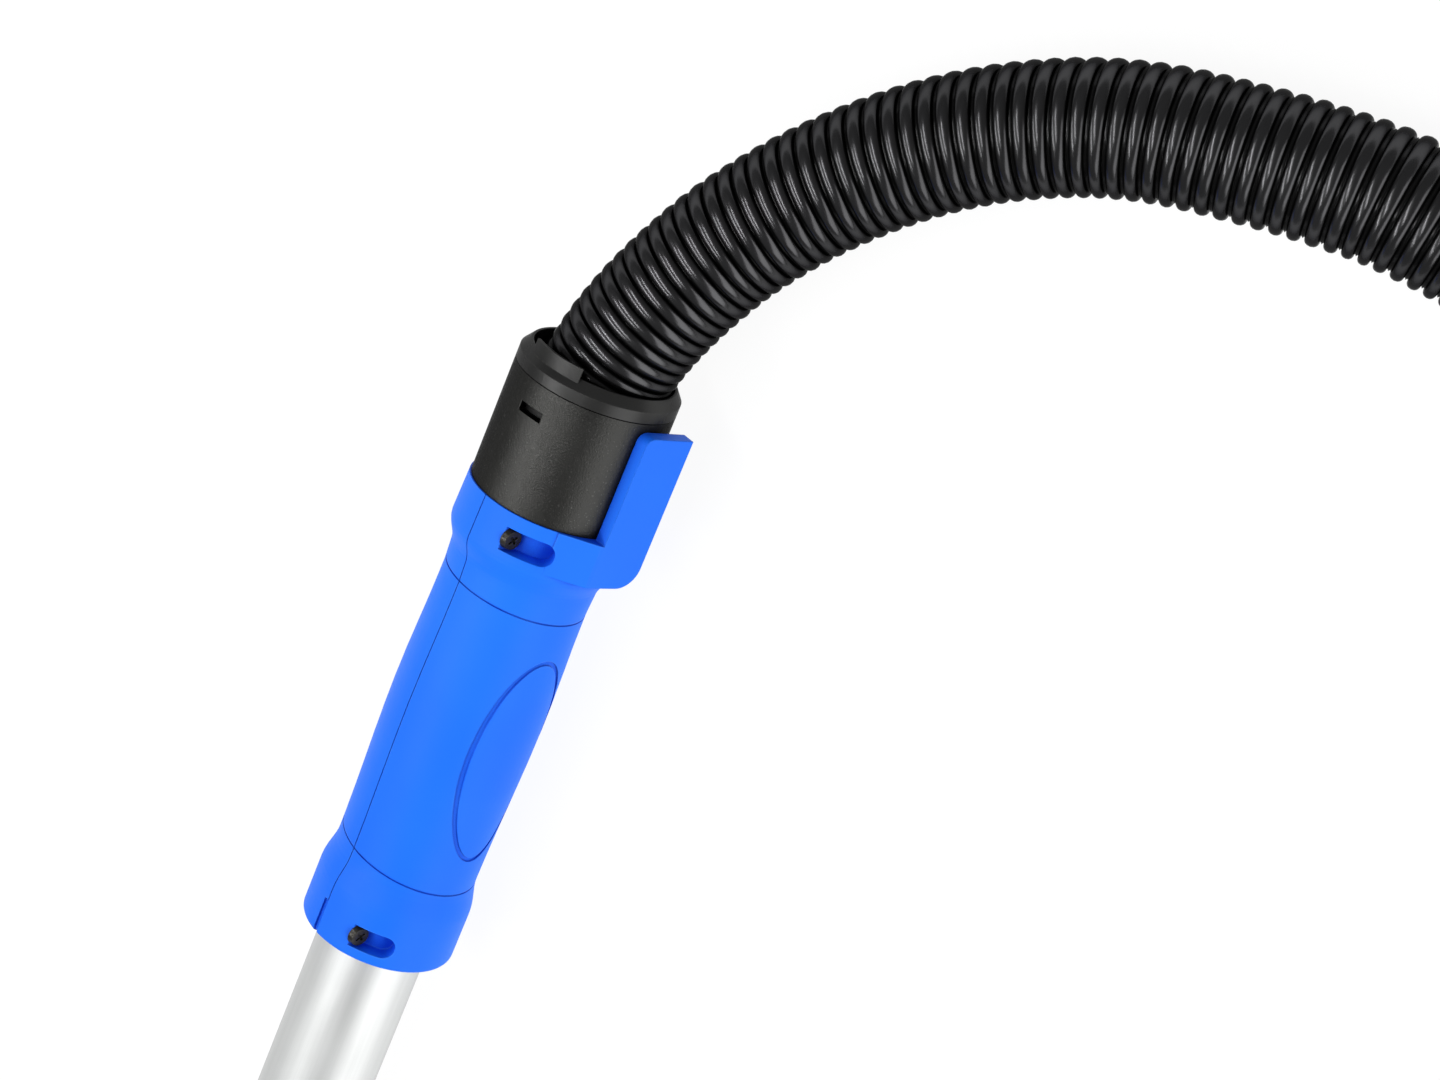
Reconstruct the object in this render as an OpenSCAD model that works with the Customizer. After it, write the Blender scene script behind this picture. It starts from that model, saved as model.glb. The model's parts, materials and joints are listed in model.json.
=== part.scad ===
// Suction hose with a two-shell hand grip and a straight wand, for a canister cleaner.
// +X runs along the wand towards the hose, +Z is up as the assembly lies on the floor.
// The origin is the centre of the wand's open lower end. Millimetres throughout.

/* [Wand] */
// Outside diameter of the wand tube
tube_od = 35; // [34.8:0.1:35.2]
// Wall of the wand tube
tube_wall = 1; // [0.8:0.1:1.2]
// From the wand's open end to the lower rim of the grip
wand_len = 480; // [470:5:520]

/* [Grip] */
// Length of the grip shells
grip_len = 156; // [155:0.5:158]
// Radius of the upper flange that carries the hose cuff
flange_r = 26.2; // [26:0.1:26.6]
// Radius of the palm swell
palm_r = 23.9; // [23.4:0.1:24.4]
// Radius of the two waists, above and below the palm
waist_r = 22.8; // [22.6:0.1:23]
// Radius of the bell at the lower rim
bell_r = 24.8; // [24.4:0.1:25.4]
// Turn of the parting plane about the wand's axis
seam_turn = 30; // [20:1:40]

/* [Hose cuff] */
// Radius of the black cuff
cuff_r = 25.3; // [25.2:0.1:25.4]
// Length of cuff that shows above the grip
cuff_show = 38.5; // [38:0.5:40]
// Height of the cap ring above the cuff
cap_h = 6.7; // [6:0.1:7.5]

/* [Hose] */
// Outside diameter of the corrugated hose
hose_d = 39; // [38.6:0.1:39]

/* [Machine end] */
// Radius of the spigot that plugs into the machine
spigot_r = 19; // [18.6:0.1:19.4]
// Length of that spigot
spigot_len = 40; // [36:1:44]
// Travel of each latch, in degrees
latch_turn = 7; // [5:0.5:7]

/* [Hidden] */

$fn = 96;
tube_r = tube_od / 2;
tube_bore = tube_r - tube_wall;
grip_x = wand_len;
cuff_x = grip_x + grip_len;
cap_x = cuff_x + cuff_show;

// Colours
blue = [0.13, 0.36, 0.95];
black = [0.09, 0.09, 0.09];
gloss_black = [0.03, 0.03, 0.03];
steel = [0.72, 0.73, 0.75];
silver = [0.80, 0.81, 0.83];
seal_grey = [0.22, 0.22, 0.23];

// ---------- Shared helpers ----------

// Children drawn along +Z come out along +X, starting at x
module along_x(x) translate([x, 0, 0]) rotate([0, 90, 0]) children();

// Round body about the X axis; points are [distance along X, radius]
module turned(points) rotate([0, 90, 0]) rotate_extrude() polygon([for (p = points) [p[1], p[0]]]);

module ring_x(x0, x1, r_in, r_out) along_x(x0) difference() {
    cylinder(r = r_out, h = x1 - x0);
    translate([0, 0, -1]) cylinder(r = r_in, h = x1 - x0 + 2);
}

// Turns children about the X axis from +Z towards -Y
module around(angle) rotate([angle, 0, 0]) children();

// Smooth step from a to b while t runs from 0 to 1
function ease(a, b, t) = a + (b - a) * (1 - cos(180 * t)) / 2;

// Wire spring standing on z = 0; its ends are cut by nothing, so it keeps clear of both seats
module coil_spring(r, wire, height, turns) {
    sides = 8;
    per_turn = 16;
    rings = turns * per_turn;
    function centre(i) = let (a = 360 * i / per_turn)
        [r * cos(a), r * sin(a), wire + (height - 2 * wire) * i / rings];
    function rim(i) = let (a = 360 * i / per_turn, c = centre(i))
        [for (k = [0 : sides - 1]) let (b = 360 * k / sides)
            c + wire * [cos(b) * cos(a), cos(b) * sin(a), sin(b)]];
    points = [for (i = [0 : rings]) each rim(i)];
    walls = [for (i = [0 : rings - 1], k = [0 : sides - 1]) let (n = (k + 1) % sides)
        [i * sides + k, (i + 1) * sides + k, (i + 1) * sides + n, i * sides + n]];
    start = [for (k = [0 : sides - 1]) k];
    end = [for (k = [sides - 1 : -1 : 0]) rings * sides + k];
    polyhedron(points, concat(walls, [start, end]));
}

// ---------- Wand tube and the collar at its lower end ----------

collar_len = 100;     // length of the collar
collar_r = flange_r;  // the collar and the flange rest on the floor at the same height
neck_bore_r = 17.9;   // takes a 35 mm tool neck
neck_fit = 27.5;      // depth over which the bore guides the neck; past it the bore is wider
neck_relief_r = 18.6;
neck_stop_x = 38;     // the tool neck's full depth
neck_seal = [23, 26]; // groove for the seal in the bore
neck_seal_r = 19.2;
tube_x0 = 42;         // start of the wand tube inside the collar
tube_x1 = grip_x + 146;
rocker_w = 14;        // width of the lock rocker
rocker_pivot = [54, 22.4];  // x and z of its pin
rocker_turn = 5;      // its travel in degrees
pin_r = 1.25;
pin_play = 0.05;
pocket_floor = 20.4;
rocker_x0 = 27.5;
rocker_x1 = 81.5;
lock_spring_x = 74;
tooth_x0 = 30;        // the tooth catches the tool's neck close to the stop
tooth_x1 = 35;
// Underside of the rocker's pad, which comes down as the rocker turns
rocker_under = pocket_floor + 0.8 + (rocker_x1 - rocker_pivot[0]) * sin(rocker_turn);

module wand_tube() color(silver) ring_x(tube_x0, tube_x1, tube_bore, tube_r);

module collar_body() turned([
    [0, neck_bore_r], [0, 20.2], [21, 20.2], [21, 23.6], [0, 23.6], [0, collar_r - 1],
    [1, collar_r], [84, collar_r], [87, collar_r - 1.2], [96, 21], [collar_len, 20],
    [collar_len, tube_r], [tube_x0, tube_r], [tube_x0, tube_bore], [neck_stop_x, tube_bore],
    [neck_stop_x, neck_relief_r], [neck_fit, neck_relief_r], [neck_fit, neck_bore_r]
]);

module wand_end_collar() color(black) difference() {
    collar_body();
    // Pocket for the rocker
    translate([rocker_x0 - 1, -rocker_w / 2 - 0.3, pocket_floor])
        cube([rocker_x1 - rocker_x0 + 2, rocker_w + 0.6, 10]);
    // Slot for the tooth, through the wall of the bore
    translate([tooth_x0 - 1, -5.3, 14]) cube([tooth_x1 - tooth_x0 + 2, 10.6, 8]);
    // Pin hole
    translate([rocker_pivot[0], -9.6, rocker_pivot[1]]) rotate([-90, 0, 0]) cylinder(r = pin_r, h = 19.2);
    // Seat of the spring
    translate([lock_spring_x, 0, 19]) cylinder(r = 3.2, h = 3, $fn = 32);
    // Groove for the seal
    ring_x(neck_seal[0], neck_seal[1], neck_bore_r - 1, neck_seal_r);
}

module wand_end_seal() color(seal_grey)
    ring_x(neck_seal[0] + 0.1, neck_seal[1] - 0.1, neck_bore_r + 0.02, neck_seal_r - 0.02);

module lock_rocker() color(black) difference() {
    union() {
        // Arm and finger pad, crowned like the collar's outside
        intersection() {
            translate([rocker_x0, -rocker_w / 2, 21.2])
                cube([rocker_x1 - rocker_x0, rocker_w, 8]);
            turned([[27, 21], [27, collar_r - 0.4], [60, collar_r - 0.2], [66, collar_r + 1.2],
                [80, collar_r + 1.4], [81.5, collar_r + 0.6], [81.5, 21]]);
        }
        // Tooth
        translate([tooth_x0, -5, 16.6]) cube([tooth_x1 - tooth_x0, 10, 6]);
        // Boss round the pin
        translate([rocker_pivot[0], -rocker_w / 2, rocker_pivot[1]]) rotate([-90, 0, 0])
            cylinder(r = 1.9, h = rocker_w);
    }
    // Room under the pad for its travel
    translate([58, -rocker_w, rocker_under - 4]) cube([30, 2 * rocker_w, 4]);
    // Pin hole
    translate([rocker_pivot[0], -rocker_w, rocker_pivot[1]]) rotate([-90, 0, 0])
        cylinder(r = pin_r + pin_play, h = 2 * rocker_w);
    // Finger grooves across the pad
    for (x = [68 : 3 : 77]) translate([x, -rocker_w, collar_r + 1.9]) rotate([-90, 0, 0])
        cylinder(r = 1, h = 2 * rocker_w, $fn = 24);
}

module lock_rocker_pin() color(steel) translate([rocker_pivot[0], -9.5, rocker_pivot[1]])
    rotate([-90, 0, 0]) cylinder(r = pin_r, h = 19);

module lock_rocker_spring() color(steel) translate([lock_spring_x, 0, 19.05])
    coil_spring(2.4, 0.3, rocker_under - 19.15, 4);

// ---------- Grip ----------

wall = 2.4;
bell_end = 17;        // the bell is cylindrical up to here
waist_low = 29;
palm_mid = 84;
waist_high = 126;
flange_start = 142;   // the flange is cylindrical from here
seam_gap = 0.15;      // each shell stops this far from the parting plane

// Outer radius of the grip at a distance s above its lower rim
function grip_r(s) =
    s < 1.5 ? bell_r - 1.5 + sqrt(max(0, 2.25 - pow(1.5 - s, 2))) :
    s < bell_end ? bell_r :
    s < waist_low ? ease(bell_r, waist_r, (s - bell_end) / (waist_low - bell_end)) :
    s < palm_mid ? ease(waist_r, palm_r, (s - waist_low) / (palm_mid - waist_low)) :
    s < waist_high ? ease(palm_r, waist_r + 0.1, (s - palm_mid) / (waist_high - palm_mid)) :
    s < 133 ? ease(waist_r + 0.1, waist_r + 0.5, (s - waist_high) / (133 - waist_high)) :
    s < flange_start ? ease(waist_r + 0.5, flange_r, (s - 133) / (flange_start - 133)) :
    flange_r - 0.4 * (s - flange_start) / (grip_len - flange_start);

grip_steps = concat([0, 0.5, 1, 1.5], [for (s = [bell_end : 2 : waist_low]) s],
    [for (s = [34 : 10 : 124]) s], [for (s = [waist_high : 3.5 : 133]) s],
    [for (s = [134.5 : 1.5 : flange_start]) s], [grip_len]);

// Solid of the grip's outside, shrunk by inset
module grip_solid(inset) translate([grip_x, 0, 0]) turned(concat(
    [[0, 5]], [for (s = grip_steps) [s, grip_r(s) - inset]], [[grip_len, 5]]));

// Local frame of the grip: +Z is the front seam, -Y is the middle of the right shell
module grip_frame() around(-seam_turn) children();

// Empty spaces inside both shells, between the ribs that hold the tube and the cuff
module grip_room() {
    translate([grip_x, 0, 0]) turned([
        [-1, 5], [-1, tube_r], [14, tube_r], [14, 20.6], [42, 20.6], [42, tube_r], [44.4, tube_r],
        [44.4, 20.6], [72, 20.6], [72, tube_r], [74.4, tube_r], [74.4, 20.6], [98, 20.6],
        [98, tube_r], [101, tube_r], [101, 20.3], [107, 20.3], [107, tube_r], [110, tube_r],
        [110, 20.6], [123, 20.6], [123, 19.2], [131.9, 19.2], [131.9, 21], [136.1, 21],
        [136.1, 19.2], [grip_len + 1, 19.2], [grip_len + 1, 5]
    ]);
    // Room between the bell's wall and its inner sleeve
    translate([grip_x, 0, 0]) turned([[12, 18.9], [12, bell_r - wall], [20, bell_r - wall],
        [26, 20.6], [26, 18.9]]);
}

// Thin slanted crease round the grip, at a distance s above the rim
crease_dir = 110;     // side on which both creases dip
module crease(s, tilt) difference() {
    translate([grip_x + s, 0, 0]) around(crease_dir) rotate([0, -tilt, 0])
        along_x(-0.25) cylinder(r = 30, h = 0.5);
    grip_solid(0.4);
}

// Screws that clamp the shells: distance above the rim, seat depth and height of each
screw_head_r = 3.5;
screw_r = 1.45;
pocket_r = 3.75;
pocket_turn = 53;     // where the pocket's rounded end is, round the grip from the front seam
screws = [[147.8, 10.8, 20.9], [7.7, 11.8, 19.5]];
screw_tip = 12;

module at_screw(q) translate([grip_x + q[0], 0, q[2]]) rotate([90, 0, 0]) children();

// Driver pocket: flat seat, floor that stays outside the tube, rounded far end
module screw_pocket(q) {
    floor_r = q[2] > 20 ? 20.4 : 19.2;
    intersection() {
        ring_x(grip_x + q[0] - pocket_r, grip_x + q[0] + pocket_r, floor_r, 30);
        // The sector between the seat and the middle of the rounded end
        translate([grip_x, -40, 0]) cube([grip_len, 40 - q[1], 40]);
        around(pocket_turn) translate([grip_x, 0, 0]) cube([grip_len, 40, 40]);
    }
    // Rounded far end
    intersection() {
        translate([grip_x + q[0], 0, 0]) around(pocket_turn) cylinder(r = pocket_r - 0.02, h = 30);
        ring_x(grip_x, grip_x + grip_len, floor_r, 30);
    }
    // Round recess at the head
    at_screw(q) translate([0, 0, q[1]]) cylinder(r = pocket_r, h = 8);
}

// Wing and the facet that carries it, beside the cuff
wing_y = 29.8;
wing_t = 4.4;
wing_top = grip_len + cuff_show - 2.5;
wing_low = 142;
module wing_outline() difference() {
    translate([wing_low, -16]) square([wing_top - wing_low, 18]);
    // Rounded front top corner
    translate([wing_top - 3, -1]) difference() {
        square([4, 4]);
        circle(r = 3, $fn = 48);
    }
    // Rounded far lower corner
    translate([wing_low + 7, -9]) rotate(180) difference() {
        square([8, 8]);
        circle(r = 7, $fn = 48);
    }
}

module wing() translate([grip_x, 0, 0]) {
    translate([0, -wing_y + wing_t, 0]) rotate([90, 0, 0]) linear_extrude(wing_t) wing_outline();
    // Facet from the flange to the wing
    translate([wing_low, 0, 0]) rotate([90, 0, 90]) linear_extrude(grip_len - wing_low)
        polygon([[-22.1, 14.1], [-wing_y + 0.2, 3], [-wing_y, 2], [-wing_y, -9], [-24, -11], [-20, -8],
            [-19.6, 10]]);
}

// Oval groove round a panel on the palm side of the right shell
oval_mid = [76.5, -2.2];
oval_half = [36.2, 15];
oval_tilt = -2;
oval_groove = [1.5, 0.6];     // width, depth
module oval_prism(shrink) translate([grip_x + oval_mid[0], 0, oval_mid[1]]) rotate([90, oval_tilt, 0])
    linear_extrude(40) polygon([for (a = [0 : 7.5 : 352.5])
        [(oval_half[0] - shrink) * cos(a), (oval_half[1] - shrink) * sin(a)]]);

module oval_cut() difference() {
    oval_prism(0);
    oval_prism(oval_groove[0]);
    grip_solid(oval_groove[1]);
}

// Shallow recess beside the front seam, in the bell of the left shell
seam_recess_top = 12.5;
module seam_recess() difference() {
    translate([grip_x - 1, 0, 15]) cube([seam_recess_top + 1, 1.7, 15]);
    grip_solid(0.8);
}

module half_space(side) translate([grip_x - 5, side > 0 ? seam_gap : -60, -60])
    cube([grip_len + cuff_show + 20, 60 - seam_gap, 120]);

module screw_bosses(q) {
    intersection() {
        at_screw(q) translate([0, 0, -screw_tip - 1]) cylinder(r = 4.9, h = 40);
        grip_solid(0.01);
    }
}

module grip_shell(side) difference() {
    intersection() {
        union() {
            difference() {
                grip_solid(0);
                grip_room();
            }
            difference() {
                for (q = screws) screw_bosses(q);
                translate([grip_x, 0, 0]) turned([[-1, 1], [-1, tube_r], [123, tube_r], [123, 19.2],
                    [grip_len + 1, 19.2], [grip_len + 1, 1]]);
            }
            if (side < 0) wing();
        }
        half_space(side);
    }
    for (q = screws) {
        // Clearance hole on the right, pilot hole on the left
        at_screw(q) translate([0, 0, side < 0 ? 0 : -screw_tip - 0.5])
            cylinder(r = side < 0 ? screw_r + 0.1 : screw_r, h = screw_tip + 0.5, $fn = 32);
        if (side < 0) screw_pocket(q);
    }
    crease(126.3, 3.7);
    crease(30.8, 7.5);
    if (side < 0) oval_cut();
    else seam_recess();
}

module grip_shell_right() color(blue) grip_frame() grip_shell(-1);

module grip_shell_left() color(blue) grip_frame() grip_shell(1);

module grip_screws() color(gloss_black) grip_frame() for (q = screws) at_screw(q) difference() {
    union() {
        translate([0, 0, -screw_tip]) cylinder(r = screw_r, h = screw_tip + q[1], $fn = 32);
        translate([0, 0, q[1]]) cylinder(r1 = screw_head_r, r2 = screw_head_r - 0.5, h = 1.9, $fn = 48);
    }
    // Cross recess
    for (a = [45, 135]) translate([0, 0, q[1] + 0.9]) rotate(a)
        translate([-1.7, -0.4, 0]) cube([3.4, 0.8, 2]);
}

module tube_stop_ring() color(steel) ring_x(grip_x + 101.2, grip_x + 106.8, tube_r, 20.2);

// ---------- Swivel joint, used at both ends of the hose ----------
// All its pieces are drawn along +Z, with w = 0 at the floor of the socket.

socket_floor = 159.5; // height of the cuff's socket floor above the grip's rim
socket_r = 22.6;      // bore of the cuff
hose_seat = 8.3;      // where the hose ends inside its sleeve
sleeve_end = 22;
skirt_start = 7.8;
line_w = grip_len + cuff_show - socket_floor;  // where the cap meets the cuff
mouth_r = 22.2;
lug_mid = -22;        // middle of a lug and of a snap window
lug_span = 48;
lug_r = [22.8, 23.8];  // inner and outer radius of a lug
lug_top = line_w + 10;

module ring_z(z0, z1, r_in, r_out) translate([0, 0, z0]) difference() {
    cylinder(r = r_out, h = z1 - z0);
    translate([0, 0, -1]) cylinder(r = r_in, h = z1 - z0 + 2);
}

module swivel_sleeve() rotate_extrude() polygon([[16.8, 2.3], [22.5, 2.3], [22.5, 6.3],
    [20.7, 6.3], [20.7, sleeve_end], [19.8, sleeve_end], [hose_d / 2, sleeve_end - 1],
    [hose_d / 2, hose_seat], [16.8, hose_seat]]);

module lip_seal() rotate_extrude() polygon([[17.2, 0.3], [22.58, 0.3], [22.58, 2],
    [20, 2], [18.6, 1.4], [17.2, 1.4]]);

module swivel_washer() ring_z(6.6, skirt_start - 0.02, 21, 22.55);

// Sector of the cap where a lug stands
module sector(angle, span, r_in, r_out, z0, z1) rotate(angle - span / 2)
    rotate_extrude(angle = span) translate([r_in, z0]) square([r_out - r_in, z1 - z0]);

module swivel_cap(lugs) {
    rotate_extrude() polygon([[21, skirt_start], [22.5, skirt_start], [22.5, line_w + 0.02],
        [cuff_r, line_w + 0.02], [cuff_r, line_w + 3.6], [cuff_r - 0.3, line_w + 4],
        [22.95, line_w + cap_h], [mouth_r, line_w + cap_h], [mouth_r, line_w - 0.5],
        [21, line_w - 6]]);
    for (a = [0, 180]) {
        // Snap tooth in the cuff's window
        rotate(a) intersection() {
            sector(0, 19, 22, 23.2, line_w - 9.9, line_w - 7.9);
            translate([22.4, -10, line_w - 11]) cube([3, 20, 5]);
        }
        if (lugs) rotate(a) sector(0, lug_span, lug_r[0], lug_r[1], line_w + 3, lug_top);
    }
}

// Windows of the cuff, drawn along +Z
module snap_windows() for (a = [0, 180]) rotate(a)
    translate([20, -4.4, line_w - 10.4]) cube([8, 8.8, 3]);

// Sets children so that their +Z lies along +X from the cuff's socket floor and their own
// +X lies at an angle from +Z towards -Y
module at_cuff(angle) around(angle) translate([grip_x + socket_floor, 0, 0])
    rotate([0, 90, 0]) rotate(180) children();

module hose_cuff() color(black) difference() {
    translate([grip_x, 0, 0]) turned([
        [126, tube_r + 0.1], [126, 19.1], [132, 19.1], [132, 20.9], [136, 20.9], [136, 19.1],
        [grip_len + 0.05, 19.1], [grip_len + 0.05, cuff_r], [grip_len + cuff_show, cuff_r],
        [grip_len + cuff_show, socket_r], [socket_floor, socket_r], [socket_floor, tube_bore],
        [146, tube_bore], [146, tube_r + 0.1], [135.5, tube_r + 0.1], [135.5, 19.2],
        [132.8, 19.2], [132.8, tube_r + 0.1]
    ]);
    at_cuff(lug_mid) snap_windows();
}

module tube_seal() color(seal_grey) ring_x(grip_x + 132.9, grip_x + 135.4, tube_r, 19.18);

module cuff_cap() color(black) at_cuff(lug_mid) swivel_cap(true);

module cuff_lip_seal() color(seal_grey) at_cuff(0) translate([0, 0, 0.2]) lip_seal();

module cuff_washer() color(silver) at_cuff(0) swivel_washer();

module hose_sleeve() color(gloss_black) at_cuff(0) swivel_sleeve();

// ---------- Hose ----------

rest_z = hose_d / 2 - flange_r;   // centre line of the hose where it lies on the floor
machine_x = 710;      // socket floor of the machine-end connector
machine_y = -735;
hose_x0 = grip_x + socket_floor + hose_seat;
hose_x1 = machine_x - hose_seat;

// Route of the hose's centre line: out of the cuff, round to the right, then an S on the floor
route = [
    [hose_x0, 0, 0], [657, 0, 0], [669, -0.5, 0], [681, -1.9, 0], [692, -4.4, 0],
    [704, -8.4, -0.6], [718, -14.4, -1.8], [734, -23, -3.4], [754, -37.5, -5.2],
    [773, -55.5, -6.4], [789, -75.5, rest_z], [802, -98, rest_z], [810, -119, rest_z],
    [815, -141, rest_z], [819, -165, rest_z], [821, -190, rest_z], [818, -222, rest_z],
    [805, -265, rest_z], [778, -309, rest_z], [739, -343, rest_z], [690, -367, rest_z],
    [636, -375, rest_z], [590, -375, rest_z], [545, -375, rest_z], [500, -375, rest_z],
    [444, -384, rest_z], [394, -409, rest_z], [354, -449, rest_z], [329, -499, rest_z],
    [320, -555, rest_z], [329, -611, rest_z], [354, -661, rest_z], [394, -701, rest_z],
    [444, -726, rest_z], [500, -735, rest_z], [556, -735, -6.6], [612, -735, -4.8],
    [664, -735, -1], [684, -735, 0], [hose_x1, machine_y, 0]
];

// Catmull-Rom point between route points i and i + 1
function at_route(i, t) = let (
        n = len(route) - 1,
        a = route[max(i - 1, 0)],
        b = route[i],
        c = route[min(i + 1, n)],
        d = route[min(i + 2, n)]
    ) b + 0.5 * t * (c - a + t * (2 * a - 5 * b + 4 * c - d + t * (3 * b - a - 3 * c + d)));

hose_line = [
    for (i = [0 : len(route) - 2]) each [for (t = [0 : 0.5 : 0.5]) at_route(i, t)],
    route[len(route) - 1]
];

// Tube of radius r swept along a line of points, with level side directions
module swept_tube(line, r, sides) {
    n = len(line) - 1;
    function ahead(i) = let (v = line[min(i + 1, n)] - line[max(i - 1, 0)]) v / norm(v);
    function rim(i) = let (
            d = i == 0 || i == n ? [1, 0, 0] : ahead(i),
            flat = cross(d, [0, 0, 1]),
            right = flat / norm(flat),
            up = cross(right, d)
        ) [for (k = [0 : sides - 1]) let (b = 360 * k / sides)
            line[i] + r * (cos(b) * right + sin(b) * up)];
    points = [for (i = [0 : n]) each rim(i)];
    walls = [for (i = [0 : n - 1], k = [0 : sides - 1]) let (m = (k + 1) % sides)
        [i * sides + k, (i + 1) * sides + k, (i + 1) * sides + m, i * sides + m]];
    start = [for (k = [0 : sides - 1]) k];
    end = [for (k = [sides - 1 : -1 : 0]) n * sides + k];
    polyhedron(points, concat(walls, [start, end]));
}

module hose() color(gloss_black) swept_tube(hose_line, hose_d / 2, 12);

// ---------- Machine-end connector ----------

// Its pieces are drawn along X from the floor of its socket.
stop_x = 4;           // start of the stop flange
spigot_x = stop_x + 6;
seal_x = spigot_x + 1;                        // start of the groove for the spigot's seal
seal_w = 3;
seal_floor_r = spigot_r - 1.4;
spigot_neck_r = 18;   // neck of the spigot inside the housing's floor
latch_pivot = [-4, 29];                       // along X, and distance from the axis
latch_w = 15;
latch_x0 = -34;       // rear end of each latch
// Underside of a latch's pad, half a millimetre off the housing when it is pressed
latch_under = cuff_r + 0.5 + (latch_pivot[0] - latch_x0) * sin(latch_turn);
ear_x = 5;            // half the width of the ears that hold a latch's pin
ear_r = 3.2;

module at_connector() translate([machine_x, machine_y, 0]) children();

// Pieces of the swivel joint at the machine end: their +Z lies along -X
module at_machine(angle) at_connector() around(angle) rotate([0, -90, 0]) children();

// Pieces on the +Y side, and their mirror images on the other
module at_side(side) at_connector() mirror([0, side > 0 ? 0 : 1, 0]) children();

module connector_sleeve() color(gloss_black) at_machine(0) swivel_sleeve();

module connector_cap() color(black) at_machine(lug_mid) swivel_cap(false);

module connector_lip_seal() color(seal_grey) at_machine(0) translate([0, 0, 0.2]) lip_seal();

module connector_washer() color(silver) at_machine(0) swivel_washer();

module latch_ears() for (z = [-latch_w / 2 - 3, latch_w / 2 + 0.4])
    translate([latch_pivot[0], 0, z]) linear_extrude(2.6) {
        translate([-ear_x, 24]) square([2 * ear_x, latch_pivot[1] - 24]);
        translate([0, latch_pivot[1]]) circle(r = ear_r, $fn = 48);
    }

module connector_housing() color(black) difference() {
    union() {
        at_connector() turned([
            [-line_w, socket_r], [-line_w, cuff_r], [stop_x, cuff_r], [stop_x, spigot_neck_r],
            [0, spigot_neck_r], [0, socket_r]
        ]);
        for (side = [-1, 1]) at_side(side) latch_ears();
    }
    at_machine(lug_mid) snap_windows();
    // Pin holes
    for (side = [-1, 1]) at_side(side) translate([latch_pivot[0], latch_pivot[1], -11])
        cylinder(r = pin_r, h = 22, $fn = 48);
}

module connector_spigot() color(black) at_connector() difference() {
    turned([
        [0, tube_bore], [0, spigot_neck_r], [stop_x, spigot_neck_r], [stop_x, flange_r],
        [spigot_x, flange_r], [spigot_x, spigot_r], [seal_x, spigot_r], [seal_x, seal_floor_r],
        [seal_x + seal_w, seal_floor_r], [seal_x + seal_w, spigot_r],
        [spigot_x + spigot_len - 1, spigot_r], [spigot_x + spigot_len, spigot_r - 1],
        [spigot_x + spigot_len, tube_bore]
    ]);
    // Flats on the stop flange under the latch arms
    for (side = [-1, 1]) mirror([0, side > 0 ? 0 : 1, 0])
        translate([stop_x - 0.5, cuff_r + 0.3, -9]) cube([7, 10, 18]);
}

module spigot_seal() color(seal_grey) at_connector() along_x(seal_x + seal_w / 2)
    rotate_extrude() intersection() {
        translate([seal_floor_r + 1.05, 0]) circle(r = 1.35, $fn = 32);
        translate([seal_floor_r + 0.02, -2]) square([4, 4]);
    }

// Latch drawn on the +Y side
module latch_shape() difference() {
    union() {
        translate([0, 0, -latch_w / 2]) linear_extrude(latch_w) polygon([
            [latch_x0, latch_under], [-14, latch_under], [-10, 26.6], [22, 26.6], [22, 24],
            [24, 24], [26.5, 27], [26.5, 28.6], [24, 29.2], [-10, 30],
            [-16, latch_under + 2.6], [-30, latch_under + 4.4], [latch_x0, latch_under + 3.8]
        ]);
        translate([latch_pivot[0], latch_pivot[1], -latch_w / 2])
            cylinder(r = 2.4, h = latch_w, $fn = 48);
    }
    // Pin hole
    translate([latch_pivot[0], latch_pivot[1], -latch_w])
        cylinder(r = pin_r + pin_play, h = 2 * latch_w, $fn = 48);
    // Finger grooves
    for (x = [3 : 3.2 : 16]) translate([latch_x0 + x, latch_under + 5.3 - x * 0.12, -latch_w])
        cylinder(r = 1.1, h = 2 * latch_w, $fn = 24);
}

module latch_left() color(black) at_side(1) latch_shape();

module latch_right() color(black) at_side(-1) latch_shape();

module latch_pin() translate([latch_pivot[0], latch_pivot[1], -10.4])
    cylinder(r = pin_r, h = 20.8, $fn = 48);

module latch_pin_left() color(steel) at_side(1) latch_pin();

module latch_pin_right() color(steel) at_side(-1) latch_pin();

module latch_spring() translate([latch_x0 + 10, cuff_r + 0.1, 0]) rotate([-90, 0, 0])
    coil_spring(2.6, 0.3, latch_under - cuff_r - 0.2, 3);

module latch_spring_left() color(steel) at_side(1) latch_spring();

module latch_spring_right() color(steel) at_side(-1) latch_spring();

wand_tube();
wand_end_collar();
wand_end_seal();
lock_rocker();
lock_rocker_pin();
lock_rocker_spring();
grip_shell_right();
grip_shell_left();
grip_screws();
tube_stop_ring();
tube_seal();
hose_cuff();
cuff_cap();
cuff_lip_seal();
cuff_washer();
hose_sleeve();
hose();
connector_sleeve();
connector_housing();
connector_spigot();
connector_cap();
connector_lip_seal();
connector_washer();
spigot_seal();
latch_left();
latch_right();
latch_pin_left();
latch_pin_right();
latch_spring_left();
latch_spring_right();
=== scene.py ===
"""Looks of a suction hose with its hand grip and wand, lying on a pale floor.

Metres, in the CAD's frame: +X runs along the wand towards the hose, +Z is up.
"""
import json
import math

import bmesh
import bpy
import numpy as np
from mathutils import Matrix, Vector


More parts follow.
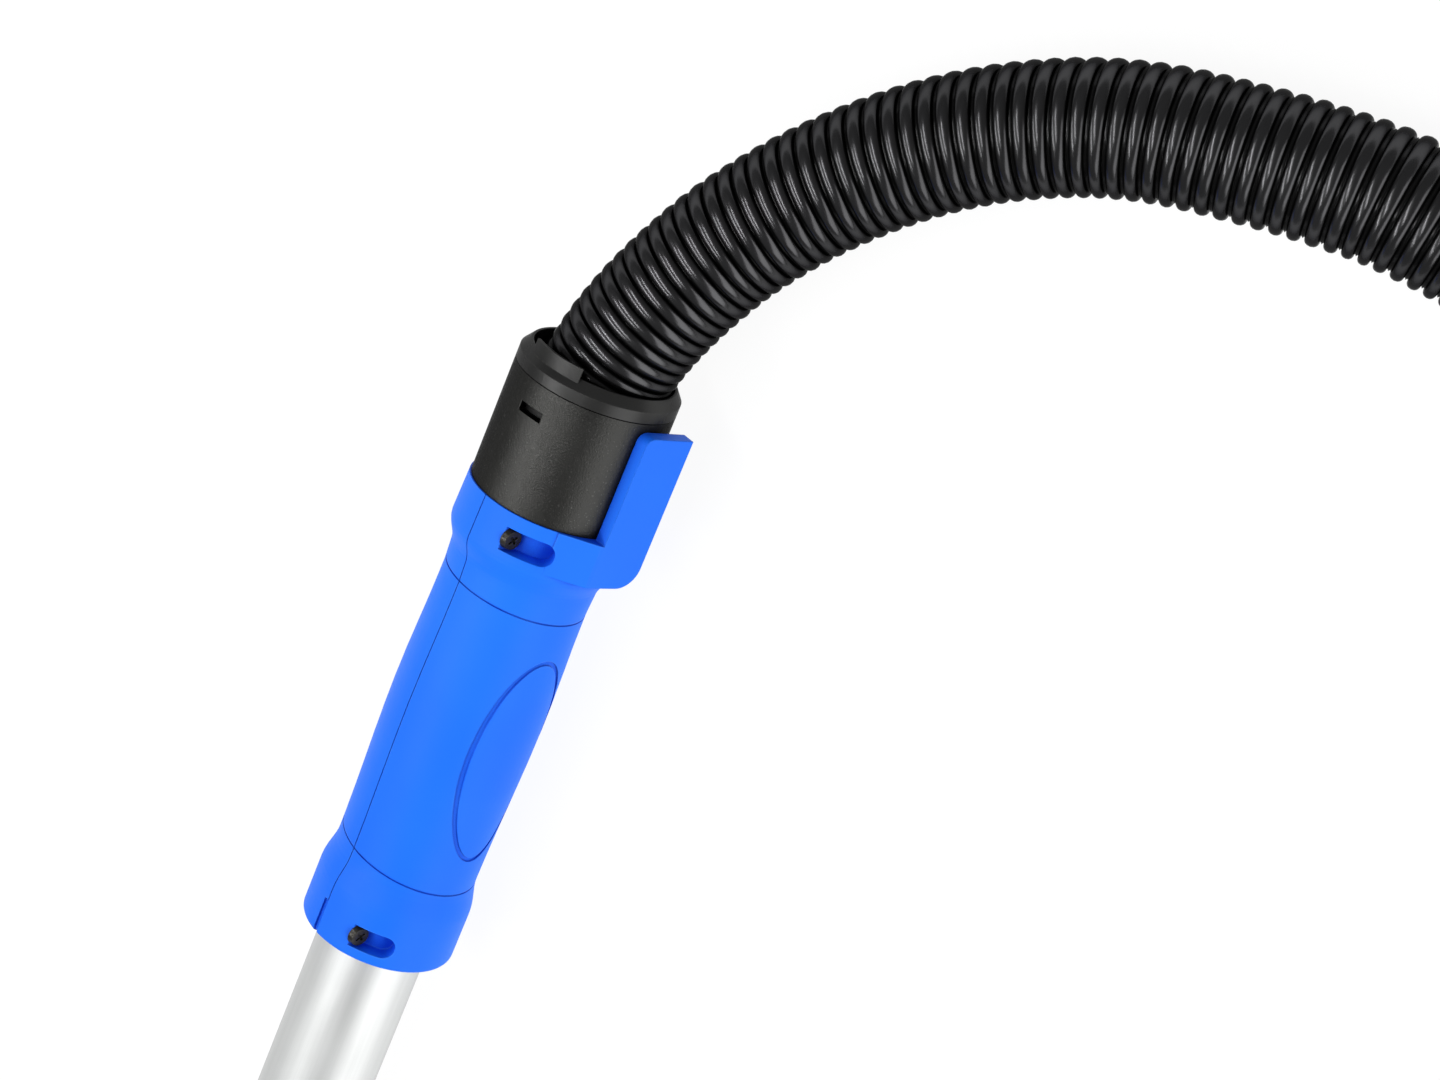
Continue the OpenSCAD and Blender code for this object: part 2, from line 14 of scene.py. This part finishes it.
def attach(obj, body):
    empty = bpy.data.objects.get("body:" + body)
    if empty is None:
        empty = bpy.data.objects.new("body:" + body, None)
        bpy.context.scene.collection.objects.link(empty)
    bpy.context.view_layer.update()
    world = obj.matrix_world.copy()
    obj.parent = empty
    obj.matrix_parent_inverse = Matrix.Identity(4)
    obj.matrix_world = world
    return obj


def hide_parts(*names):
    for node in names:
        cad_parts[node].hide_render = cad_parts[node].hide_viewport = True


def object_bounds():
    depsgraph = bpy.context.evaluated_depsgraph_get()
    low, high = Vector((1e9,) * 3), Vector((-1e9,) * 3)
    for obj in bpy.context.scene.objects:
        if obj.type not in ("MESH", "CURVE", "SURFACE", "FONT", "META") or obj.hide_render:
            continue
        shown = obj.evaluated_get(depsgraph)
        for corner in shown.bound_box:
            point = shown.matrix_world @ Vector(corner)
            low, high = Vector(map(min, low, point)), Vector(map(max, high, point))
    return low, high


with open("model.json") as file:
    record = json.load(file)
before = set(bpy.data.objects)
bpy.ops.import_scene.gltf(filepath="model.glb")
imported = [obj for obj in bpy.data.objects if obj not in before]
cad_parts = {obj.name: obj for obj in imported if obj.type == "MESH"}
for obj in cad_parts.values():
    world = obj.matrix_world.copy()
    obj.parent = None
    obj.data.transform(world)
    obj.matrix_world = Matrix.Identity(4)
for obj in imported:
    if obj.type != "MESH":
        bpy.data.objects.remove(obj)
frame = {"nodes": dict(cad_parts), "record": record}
cad_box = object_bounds()
scene = bpy.context.scene
nodes = frame["nodes"]

# ---------- Camera ----------

CAMERA_AT = Vector((0.9761, -0.2242, 0.8842))
LOOKS_AT = Vector((0.6384, -0.0472, -0.0262))
CAMERA_UP = Vector((0.8647, 0.4443, -0.2344))
LENS = 81.5             # mm
SENSOR = 36             # mm


def add_camera():
    data = bpy.data.cameras.new("camera")
    data.lens = LENS
    data.sensor_width = SENSOR
    camera = bpy.data.objects.new("camera", data)
    scene.collection.objects.link(camera)
    ahead = (LOOKS_AT - CAMERA_AT).normalized()
    right = ahead.cross(CAMERA_UP).normalized()
    up = right.cross(ahead)
    turn = Matrix((right, up, -ahead)).transposed()
    camera.matrix_world = Matrix.Translation(CAMERA_AT) @ turn.to_4x4()
    scene.camera = camera


add_camera()

# ---------- Hose ----------

HOSE_D = 0.039
REST_Z = -0.0067        # centre line of the hose where it lies on the floor
ROUTE = [
    (0.6478, 0, 0), (0.657, 0, 0), (0.669, -0.0005, 0), (0.681, -0.0019, 0), (0.692, -0.0044, 0),
    (0.704, -0.0084, -0.0006), (0.718, -0.0144, -0.0018), (0.734, -0.023, -0.0034),
    (0.754, -0.0375, -0.0052), (0.773, -0.0555, -0.0064), (0.789, -0.0755, REST_Z),
    (0.802, -0.098, REST_Z), (0.810, -0.119, REST_Z), (0.815, -0.141, REST_Z),
    (0.819, -0.165, REST_Z), (0.821, -0.190, REST_Z), (0.818, -0.222, REST_Z),
    (0.805, -0.265, REST_Z), (0.778, -0.309, REST_Z), (0.739, -0.343, REST_Z),
    (0.690, -0.367, REST_Z), (0.636, -0.375, REST_Z), (0.590, -0.375, REST_Z),
    (0.545, -0.375, REST_Z), (0.500, -0.375, REST_Z), (0.444, -0.384, REST_Z),
    (0.394, -0.409, REST_Z), (0.354, -0.449, REST_Z), (0.329, -0.499, REST_Z),
    (0.320, -0.555, REST_Z), (0.329, -0.611, REST_Z), (0.354, -0.661, REST_Z),
    (0.394, -0.701, REST_Z), (0.444, -0.726, REST_Z), (0.500, -0.735, REST_Z),
    (0.556, -0.735, -0.0066), (0.612, -0.735, -0.0048), (0.664, -0.735, -0.001),
    (0.684, -0.735, 0), (0.7017, -0.735, 0),
]
STEPS = 24              # points of the fine line per stretch of the route
PITCH_NEAR = 0.0035     # the beads sit closer where the hose is pushed together at the cuff
PITCH_FAR = 0.0056
STRETCH_OVER = 0.10     # length over which the pitch opens up
BEAD = 0.0042           # width of a bead; what is left of the pitch is a low web
GROOVE = 0.0019         # depth of the crease between two beads
AROUND = 72             # points round the hose
PITCH_SAMPLES = 6000    # points along the hose at which its pitch is added up
AHEAD = 0.002           # distance to each side over which the hose's direction is taken


def hose_line():
    """The route's Catmull-Rom curve as fine points, and the length up to each of them."""
    route = np.array(ROUTE)
    last = len(route) - 1
    points = []
    for i in range(last):
        a, b, c, d = (route[min(max(i + k, 0), last)] for k in (-1, 0, 1, 2))
        for t in np.arange(STEPS) / STEPS:
            curve = c - a + t * (2 * a - 5 * b + 4 * c - d + t * (3 * b - a - 3 * c + d))
            points.append(b + 0.5 * t * curve)
    points = np.array(points + [route[last]])
    along = np.r_[0, np.cumsum(np.linalg.norm(np.diff(points, axis=0), axis=1))]
    return points, along


def bead_profile(wide):
    """One pitch of the wall, as (share of the pitch, depth in grooves).

    The bead takes the share called wide, and the low web takes the rest.
    """
    arc = [(wide * (0.5 - 0.5 * math.cos(math.radians(a))), 1 - math.sin(math.radians(a)) ** 0.8)
           for a in (0, 6, 14, 26, 42, 62, 90, 118, 138, 154, 166, 174, 180)]
    web = 1 - wide
    return arc + [(wide + 0.2 * web, 1.1), (wide + 0.5 * web, 0.85), (wide + 0.8 * web, 1.1)]


def make_hose():
    """Corrugated skin: a round bead winds along the hose, and a low web joins its turns."""
    points, along = hose_line()
    length = along[-1]
    fine = np.linspace(0, length, PITCH_SAMPLES)
    pitch = PITCH_FAR - (PITCH_FAR - PITCH_NEAR) * np.exp(-fine / STRETCH_OVER)
    turns = np.r_[0, np.cumsum(np.diff(fine) / (0.5 * (pitch[1:] + pitch[:-1])))]
    rows, depth = [], []
    for turn in range(-1, int(turns[-1]) + 2):
        profile = bead_profile(min(BEAD / np.interp(turn, turns, pitch), 0.95))
        for share, deep in profile:
            rows.append(turn + share)
            depth.append(deep)
    rows, depth = np.array(rows), np.array(depth)
    angle = np.arange(AROUND) / AROUND * 2 * math.pi
    at = np.interp(rows[:, None] + angle[None, :] / (2 * math.pi), turns, fine)
    centre = np.stack([np.interp(at, along, points[:, k]) for k in range(3)], -1)
    ahead = np.stack([np.interp(at + AHEAD, along, points[:, k])
                      - np.interp(at - AHEAD, along, points[:, k]) for k in range(3)], -1)
    ahead /= np.linalg.norm(ahead, axis=-1, keepdims=True)
    side = np.cross(ahead, [0, 0, 1.0])
    side /= np.linalg.norm(side, axis=-1, keepdims=True)
    up = np.cross(side, ahead)
    radius = HOSE_D / 2 - GROOVE * depth[:, None, None]
    outward = np.cos(angle)[None, :, None] * side + np.sin(angle)[None, :, None] * up
    skin = centre + radius * outward
    count, per_turn = len(rows), len(profile)
    index = np.arange(count * AROUND).reshape(count, AROUND)
    faces = []
    for k in range(count - 1):
        for j in range(AROUND):
            if j < AROUND - 1:
                a, b, c, d = index[k, j], index[k, j + 1], index[k + 1, j + 1], index[k + 1, j]
            elif k + 1 + per_turn < count:
                a, b = index[k, j], index[k + per_turn, 0]
                c, d = index[k + 1 + per_turn, 0], index[k + 1, j]
            else:
                continue
            faces.append((int(a), int(b), int(c), int(d)))
    mesh = bpy.data.meshes.new("hose_skin")
    mesh.from_pydata([tuple(p) for p in skin.reshape(-1, 3)], [], faces)
    tidy = bmesh.new()
    tidy.from_mesh(mesh)
    bmesh.ops.remove_doubles(tidy, verts=tidy.verts, dist=1e-5)
    bmesh.ops.dissolve_degenerate(tidy, edges=tidy.edges, dist=1e-5)
    open_edges = [e for e in tidy.edges if e.is_boundary]
    bmesh.ops.holes_fill(tidy, edges=open_edges, sides=0)
    bmesh.ops.recalc_face_normals(tidy, faces=tidy.faces)
    tidy.to_mesh(mesh)
    tidy.free()
    mesh.polygons.foreach_set("use_smooth", [True] * len(mesh.polygons))
    hose = bpy.data.objects.new("hose_skin", mesh)
    scene.collection.objects.link(hose)
    return hose, points[::4], length


hose, hose_path, hose_length = make_hose()
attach(hose, "hose_body")
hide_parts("hose")

# ---------- Materials ----------


class Shader:
    """A node material being built: a Principled shader and short calls for the nodes before it."""

    def __init__(self, name, **values):
        self.material = bpy.data.materials.new(name)
        self.material.use_nodes = True
        self.tree = self.material.node_tree
        self.bsdf = self.tree.nodes["Principled BSDF"]
        for socket, value in values.items():
            self.bsdf.inputs[socket.replace("_", " ")].default_value = value
        self.place = self.add("ShaderNodeTexCoord").outputs["Object"]

    def add(self, kind, **inputs):
        node = self.tree.nodes.new(kind)
        for name, value in inputs.items():
            self.set(node, name.replace("_", " "), value)
        return node

    def set(self, node, name, value):
        if isinstance(value, bpy.types.NodeSocket):
            self.tree.links.new(value, node.inputs[name])
        else:
            node.inputs[name].default_value = value

    def noise(self, scale, detail=3.0, rough=0.5, stretch=None):
        place = self.place
        if stretch:
            place = self.add("ShaderNodeMapping", Vector=place, Scale=stretch).outputs["Vector"]
        return self.add("ShaderNodeTexNoise", Vector=place, Scale=scale, Detail=detail,
                        Roughness=rough).outputs["Fac"]

    def span(self, value, low, high, out_low, out_high):
        node = self.add("ShaderNodeMapRange", Value=value)
        for socket, number in zip(("From Min", "From Max", "To Min", "To Max"),
                                  (low, high, out_low, out_high)):
            node.inputs[socket].default_value = number
        return node.outputs["Result"]

    def mix(self, share, first, second):
        node = self.tree.nodes.new("ShaderNodeMix")
        node.data_type = "RGBA"
        self.set(node, 0, share)
        self.set(node, 6, first)
        self.set(node, 7, second)
        return node.outputs[2]

    def mottle(self, noise, first, second):
        """Two colours that drift into each other."""
        return self.mix(self.span(noise, 0.3, 0.7, 0, 1), first, second)

    def math(self, operation, first, second):
        node = self.tree.nodes.new("ShaderNodeMath")
        node.operation = operation
        self.set(node, 0, first)
        self.set(node, 1, second)
        return node.outputs[0]

    def edge(self, radius):
        """1 on sharp edges, 0 on open faces."""
        soft = self.add("ShaderNodeBevel", Radius=radius)
        soft.samples = 4
        dot = self.tree.nodes.new("ShaderNodeVectorMath")
        dot.operation = "DOT_PRODUCT"
        self.tree.links.new(soft.outputs["Normal"], dot.inputs[0])
        self.tree.links.new(self.add("ShaderNodeNewGeometry").outputs["Normal"], dot.inputs[1])
        return self.span(dot.outputs["Value"], 0.99, 0.9, 0.0, 1.0)

    def wear_and_edge_highlight(self, radius, scale, low, high, most):
        """Share of patchy lighter colour on sharp edges, up to most: partly wear, partly painted
        edge highlight.
        """
        patches = self.span(self.noise(scale, 4), low, high, 0, most)
        return self.math("MULTIPLY", self.edge(radius), patches)

    def crevice_shade(self, reach, closed=0.40, wide=0.95):
        """Painted shade share from ambient occlusion: 1 deep in grooves and corners, 0 on open
        faces; closed and wide are open shares.
        """
        node = self.add("ShaderNodeAmbientOcclusion", Distance=reach)
        node.samples = 4
        return self.span(node.outputs["AO"], closed, wide, 1.0, 0.0)

    def ring(self, x, half_width):
        """1 on a thin ring round the X axis, such as the painted shade line where two parts meet.
        """
        along = self.add("ShaderNodeSeparateXYZ", Vector=self.place).outputs["X"]
        off = self.math("ABSOLUTE", self.math("SUBTRACT", along, x), 0.0)
        return self.span(off, 0.6 * half_width, half_width, 1.0, 0.0)

    def color(self, value):
        self.set(self.bsdf, "Base Color", value)

    def roughness(self, value):
        self.set(self.bsdf, "Roughness", value)

    def relief(self, *bumps, soften=0.0):
        """Bumps are (height, depth in metres); soften is the radius that rounds sharp edges."""
        normal = None
        if soften:
            bevel = self.add("ShaderNodeBevel", Radius=soften)
            bevel.samples = 6
            normal = bevel.outputs["Normal"]
        for height, depth in bumps:
            node = self.add("ShaderNodeBump", Height=height, Distance=depth, Strength=1.0)
            if normal:
                self.tree.links.new(normal, node.inputs["Normal"])
            normal = node.outputs["Normal"]
        self.tree.links.new(normal, self.bsdf.inputs["Normal"])


CAP_LINE = 0.6745       # where the cap meets the cuff, along X
LINE_HALF = 0.00022     # half the width of the painted shade line there
GAP_SHADE = (0.003, 0.003, 0.003, 1)     # painted shade: colour deep in the gaps of black plastic and on the line where the cap meets the cuff


def blue_plastic():
    s = Shader("blue_plastic", IOR=1.5, Specular_IOR_Level=0.15)
    base = s.mottle(s.noise(14, 3), (0.010, 0.155, 0.94, 1), (0.014, 0.185, 0.98, 1))
    # painted shade: darker blue deep in grooves, seams and corners, from ambient occlusion
    shaded = s.mix(s.crevice_shade(0.006), base, (0.001, 0.045, 0.60, 1))
    # lighter blue on sharp edges: partly wear, partly painted edge highlight
    s.color(s.mix(s.wear_and_edge_highlight(0.0009, 60, 0.45, 0.75, 0.5), shaded, (0.07, 0.30, 0.98, 1)))
    s.roughness(s.span(s.noise(35, 5, 0.6), 0.25, 0.75, 0.46, 0.58))
    s.relief((s.noise(900, 2), 0.00002), (s.noise(3200, 1), 0.000012), soften=0.0006)
    return s.material


def black_plastic():
    s = Shader("black_plastic", Metallic=0.85, Specular_Tint=(0.15, 0.15, 0.15, 1))
    base = s.mottle(s.noise(20, 3), (0.034, 0.034, 0.033, 1), (0.045, 0.045, 0.043, 1))
    # painted glints: light specks in the colour stand in for the sparkle of the textured surface
    painted_glints = s.span(s.noise(1500, 1), 0.66, 0.74, 0, 0.7)
    with_painted_glints = s.mix(painted_glints, base, (0.085, 0.085, 0.082, 1))
    # painted shade: near black deep in gaps and corners, from ambient occlusion
    shaded = s.mix(s.crevice_shade(0.005), with_painted_glints, GAP_SHADE)
    # lighter grey on sharp edges: partly wear, partly painted edge highlight
    worn_and_highlit = s.mix(s.wear_and_edge_highlight(0.0008, 80, 0.4, 0.7, 0.6), shaded, (0.09, 0.09, 0.086, 1))
    # painted shade line where the cap meets the cuff
    s.color(s.mix(s.ring(CAP_LINE, LINE_HALF), worn_and_highlit, GAP_SHADE))
    s.roughness(s.span(s.noise(40, 5, 0.6), 0.25, 0.75, 0.32, 0.41))
    s.relief((s.noise(1900, 3), 0.00012), soften=0.0004)
    return s.material


def cap_plastic():
    s = Shader("cap_plastic", Metallic=0.7, Specular_Tint=(0.2, 0.2, 0.2, 1))
    base = s.mottle(s.noise(30, 3), (0.036, 0.036, 0.036, 1), (0.048, 0.048, 0.047, 1))
    # painted shade: near black deep in gaps and corners, from ambient occlusion
    shaded = s.mix(s.crevice_shade(0.006), base, GAP_SHADE)
    # lighter grey on sharp edges: partly wear, partly painted edge highlight
    worn_and_highlit = s.mix(s.wear_and_edge_highlight(0.0006, 90, 0.4, 0.7, 0.7), shaded, (0.10, 0.10, 0.097, 1))
    # painted shade line where the cap meets the cuff
    s.color(s.mix(s.ring(CAP_LINE, LINE_HALF), worn_and_highlit, GAP_SHADE))
    s.roughness(s.span(s.noise(50, 5, 0.6), 0.25, 0.75, 0.30, 0.42))
    s.relief((s.noise(1500, 2), 0.00002), soften=0.0004)
    return s.material


def hose_plastic():
    s = Shader("hose_plastic", Metallic=0.9, Specular_Tint=(0.08, 0.08, 0.08, 1))
    base = s.mottle(s.noise(18, 3), (0.054, 0.054, 0.056, 1), (0.066, 0.066, 0.069, 1))
    # painted shade: near black deep in the creases between the beads, from ambient occlusion
    shaded = s.mix(s.crevice_shade(0.006, 0.60, 1.0), base, (0.008, 0.008, 0.008, 1))
    dust = s.span(s.noise(220, 6, 0.65), 0.60, 0.78, 0, 0.25)
    s.color(s.mix(dust, shaded, (0.08, 0.08, 0.076, 1)))
    s.roughness(s.span(s.noise(90, 5, 0.6), 0.25, 0.75, 0.20, 0.28))
    s.relief((s.noise(160, 2), 0.00002), (s.noise(1400, 2), 0.000006))
    return s.material


def anodised_tube():
    s = Shader("anodised_tube", Metallic=1.0, Specular_Tint=(0.6, 0.6, 0.6, 1))
    streaks = s.noise(260, 4, 0.6, stretch=(0.02, 1, 1))
    s.color(s.mottle(streaks, (0.72, 0.73, 0.725, 1), (0.80, 0.81, 0.805, 1)))
    s.roughness(s.span(s.noise(30, 4), 0.3, 0.7, 0.52, 0.60))
    s.relief((streaks, 0.00001), (s.noise(4000, 1), 0.000008))
    return s.material


def bright_steel():
    s = Shader("bright_steel", Metallic=1.0)
    s.color(s.mix(s.noise(200, 4), (0.50, 0.51, 0.53, 1), (0.62, 0.63, 0.65, 1)))
    s.roughness(s.span(s.noise(600, 3), 0.3, 0.7, 0.22, 0.38))
    s.relief((s.noise(1500, 3), 0.00001), soften=0.0002)
    return s.material


def black_steel():
    s = Shader("black_steel", Metallic=0.6)
    s.color(s.mix(s.noise(500, 4), (0.018, 0.017, 0.016, 1), (0.05, 0.046, 0.04, 1)))
    s.roughness(s.span(s.noise(900, 3), 0.3, 0.7, 0.25, 0.42))
    s.relief((s.noise(1200, 3), 0.00003), soften=0.0003)
    return s.material


def seal_rubber():
    s = Shader("seal_rubber", IOR=1.5)
    s.color(s.mix(s.noise(150, 4), (0.020, 0.020, 0.021, 1), (0.035, 0.035, 0.036, 1)))
    s.roughness(s.span(s.noise(300, 4), 0.3, 0.7, 0.62, 0.78))
    s.relief((s.noise(1500, 3), 0.00003), soften=0.0002)
    return s.material


def white_acetal():
    s = Shader("white_acetal", IOR=1.48)
    s.color(s.mix(s.noise(80, 3), (0.74, 0.74, 0.71, 1), (0.82, 0.82, 0.80, 1)))
    s.roughness(s.span(s.noise(200, 3), 0.3, 0.7, 0.34, 0.46))
    s.relief((s.noise(1200, 2), 0.00001), soften=0.0002)
    return s.material


MAKERS = (anodised_tube, blue_plastic, black_plastic, cap_plastic, hose_plastic, black_steel,
          bright_steel, seal_rubber, white_acetal)
materials = {maker.__name__: maker() for maker in MAKERS}
materials["steel"] = materials["bright_steel"]


def paint(piece, slot):
    piece.data.materials.clear()
    piece.data.materials.append(materials[slot])


paint(hose, "hose_plastic")
for part in frame["record"]["subparts"]:
    paint(nodes[part["node"]], part["material_slot"])

# ---------- Floor and light ----------


FLOOR_HALF = 6.0


def add_floor():
    """Softly glowing pale floor under the lowest point."""
    mesh = bpy.data.meshes.new("floor")
    half, low = FLOOR_HALF, cad_box[0][2]
    corners = [(-half, -half, low), (half, -half, low), (half, half, low), (-half, half, low)]
    mesh.from_pydata(corners, [], [(0, 1, 2, 3)])
    floor = bpy.data.objects.new("floor", mesh)
    scene.collection.objects.link(floor)
    s = Shader("floor", Base_Color=(0.14, 0.14, 0.14, 1), Roughness=0.9, Specular_IOR_Level=0.0,
               Emission_Color=(1, 1, 1, 1), Emission_Strength=0.90)
    floor.data.materials.append(s.material)


def add_softbox(name, toward, distance, size, glow, across):
    """Soft light seen from the grip in a direction; its first side runs along across.

    glow is its radiance.
    """
    data = bpy.data.lights.new(name, "AREA")
    data.shape = "RECTANGLE"
    data.size, data.size_y = size
    data.energy = glow * math.pi * size[0] * size[1]
    lamp = bpy.data.objects.new(name, data)
    scene.collection.objects.link(lamp)
    away = Vector(toward).normalized()
    first = (Vector(across) - away * away.dot(Vector(across))).normalized()
    turn = Matrix((first, away.cross(first), away)).transposed()
    lamp.matrix_world = Matrix.Translation(LOOKS_AT + away * distance) @ turn.to_4x4()
    lamp.visible_camera = False


def add_world(strength):
    world = bpy.data.worlds.new("studio")
    world.use_nodes = True
    back = world.node_tree.nodes["Background"]
    back.inputs["Color"].default_value = (1, 1, 1, 1)
    back.inputs["Strength"].default_value = strength
    scene.world = world


HOSE_RUN = Vector((0.75, -0.65, 0)).normalized()    # the way the hose runs where it shines
KEY = Vector((-0.10, 0.50, 0.85))                   # from the grip to the middle of the key lights

add_floor()
add_world(0.20)
for name, lean in (("key_left", -0.32), ("key_right", 0.32)):
    add_softbox(name, toward=KEY + HOSE_RUN * lean, distance=1.1, size=(0.085, 1.1), glow=18.3,
                across=HOSE_RUN)
add_softbox("right_wall", toward=(-0.1, -0.85, 0.42), distance=1.8, size=(3.0, 1.3), glow=2.4,
            across=(1, 0, 0))
scene.view_settings.view_transform = "Standard"
